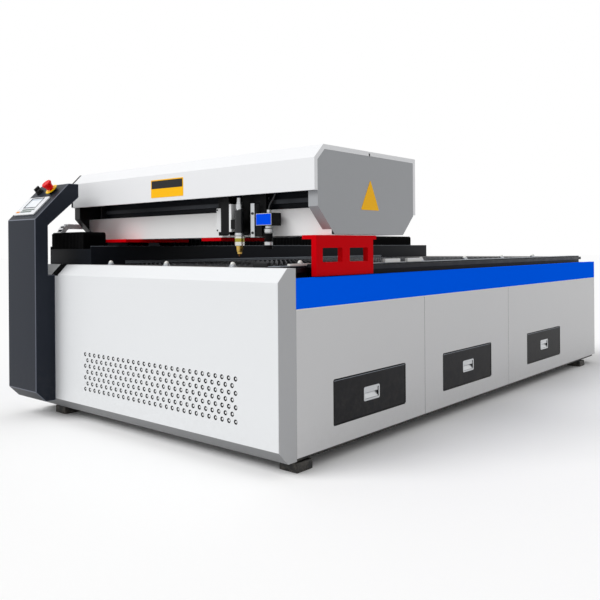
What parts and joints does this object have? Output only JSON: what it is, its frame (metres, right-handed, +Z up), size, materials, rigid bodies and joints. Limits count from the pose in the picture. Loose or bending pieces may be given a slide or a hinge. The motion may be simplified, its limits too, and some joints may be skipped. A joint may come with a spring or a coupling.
{
  "type": "laser cutting machine",
  "caption": "Gantry laser cutting machine: slatted bed on a panelled base with scrap drawers, covered gantry with hinged lid, head and camera, and a hooked control column.",
  "frame": {"origin": "on the floor, in the middle of the footprint", "axes": "+X to the operator's right, +Y to the rear, +Z up"},
  "size_m": [2.24, 4.4, 1.56],
  "materials": {
    "frame_paint": "dark semi-gloss enamel",
    "cover_white": "fine textured powder coat",
    "panel_grey": "fine textured powder coat",
    "band_blue": "smooth powder coat",
    "beam_black": "satin black enamel",
    "bright_steel": "ground steel",
    "bellows_cloth": "coated folded cloth",
    "chain_grey": "moulded links",
    "slat_steel": "mill finish sheet",
    "ball_white": "polished",
    "stop_white": "smooth enamel",
    "column_dark": "fine textured powder coat",
    "panel_plastic": "moulded bezel",
    "screen_glass": "display window",
    "collar_yellow": "moulded",
    "stop_red": "moulded",
    "knob_black": "moulded",
    "drawer_black": "fine textured powder coat",
    "pull_steel": "satin plated",
    "lid_white": "smooth powder coat",
    "leg_red": "smooth powder coat",
    "cap_grey": "fine textured powder coat",
    "motor_dark": "cast case",
    "camera_blue": "anodised case",
    "lens_black": "black anodised",
    "head_dark": "black anodised",
    "nozzle_brass": "turned",
    "cable_grey": "jacketed cable",
    "foot_rubber": "moulded"
  },
  "bodies": {
    "base": {"base_long_rails": "frame_paint", "base_frame_members": "frame_paint", "levelling_feet": "foot_rubber", "front_cover": "cover_white", "front_cover_ends": "panel_grey", "rear_cover": "panel_grey", "right_panels": "panel_grey", "left_panels": "panel_grey", "stripe_panels": "band_blue", "drawer_runners": "bright_steel", "left_rail_beam": "beam_black", "right_rail_beam": "beam_black", "guide_rails": "bright_steel", "front_bellows": "bellows_cloth", "rear_bellows": "bellows_cloth", "chain_tray": "frame_paint", "cable_chain": "chain_grey", "screw_drive": "motor_dark", "bed_decks": "frame_paint", "comb_bars": "slat_steel", "support_slats": "slat_steel", "ball_cups": "bright_steel", "transfer_balls": "ball_white", "sheet_stops": "stop_white", "column_shell": "column_dark", "control_panel": "panel_plastic", "control_screen": "screen_glass", "switch_collars": "collar_yellow"},
    "gantry": {"gantry_beam": "lid_white", "base_plates": "leg_red", "right_leg": "leg_red", "bottom_cover": "lid_white", "right_end_cap": "cap_grey", "left_end_cap": "cap_grey", "rear_lid": "lid_white", "lid_hinge": "bright_steel", "rail_plate": "beam_black", "cross_rails": "bright_steel", "cross_drive": "motor_dark", "guide_blocks": "bright_steel", "laser_source": "bright_steel"},
    "lid": {"front_lid": "lid_white"},
    "carriage": {"carriage_plate": "head_dark", "carriage_blocks": "bright_steel", "head_drive": "head_dark", "camera_body": "camera_blue", "camera_lens": "lens_black", "camera_cable": "cable_grey"},
    "head": {"head_body": "head_dark", "nozzle": "nozzle_brass"},
    "y_screw": {"drive_screw": "bright_steel"},
    "x_screw": {"cross_screw": "bright_steel"},
    "drawer_a": {"drawer_1": "drawer_black", "drawer_1_pull": "pull_steel"},
    "drawer_b": {"drawer_2": "drawer_black", "drawer_2_pull": "pull_steel"},
    "drawer_c": {"drawer_3": "drawer_black", "drawer_3_pull": "pull_steel"},
    "estop": {"estop_button": "stop_red"},
    "turn_switch": {"switch_knob": "knob_black"}
  },
  "joints": [
    {"name": "gantry_slide", "type": "slide", "parent": "base", "child": "gantry", "axis": [0, 1, 0], "range_m": [-0.04, 2.9], "deforming": ["front_bellows", "rear_bellows", "cable_chain"]},
    {"name": "carriage_slide", "type": "slide", "parent": "gantry", "child": "carriage", "axis": [1, 0, 0], "range_m": [-0.88, 0.228]},
    {"name": "head_lift", "type": "slide", "parent": "carriage", "child": "head", "axis": [0, 0, 1], "range_m": [-0.025, 0.05]},
    {"name": "lid_hinge_turn", "type": "hinge", "parent": "gantry", "child": "lid", "pos_m": [0, -1.318, 1.554], "axis": [-1, 0, 0], "range_deg": [0, 80]},
    {"name": "drawer_1_slide", "type": "slide", "parent": "base", "child": "drawer_a", "axis": [1, 0, 0], "range_m": [0, 0.45]},
    {"name": "drawer_2_slide", "type": "slide", "parent": "base", "child": "drawer_b", "axis": [1, 0, 0], "range_m": [0, 0.45]},
    {"name": "drawer_3_slide", "type": "slide", "parent": "base", "child": "drawer_c", "axis": [1, 0, 0], "range_m": [0, 0.45]},
    {"name": "estop_press", "type": "slide", "parent": "base", "child": "estop", "axis": [0, 0.7071, -0.7071], "range_m": [0, 0.006], "stiffness_N_per_m": 2500},
    {"name": "switch_turn", "type": "hinge", "parent": "base", "child": "turn_switch", "pos_m": [-1.031, -2.01474, 1.42326], "axis": [0, -0.7071, 0.7071], "range_deg": [0, 90]},
    {"name": "y_screw_turn", "type": "hinge", "parent": "base", "child": "y_screw", "pos_m": [-0.84, 0, 1.074], "axis": [0, 1, 0], "range_deg": [-361, 26101]},
    {"name": "x_screw_turn", "type": "hinge", "parent": "gantry", "child": "x_screw", "pos_m": [0, -1.626, 1.376], "axis": [1, 0, 0], "range_deg": [-15842, 4105]}
  ],
  "couplings": [
    {"joint": "y_screw_turn", "follows": "gantry_slide", "rad_per_m": 157.08},
    {"joint": "x_screw_turn", "follows": "carriage_slide", "rad_per_m": 314.16}
  ]
}
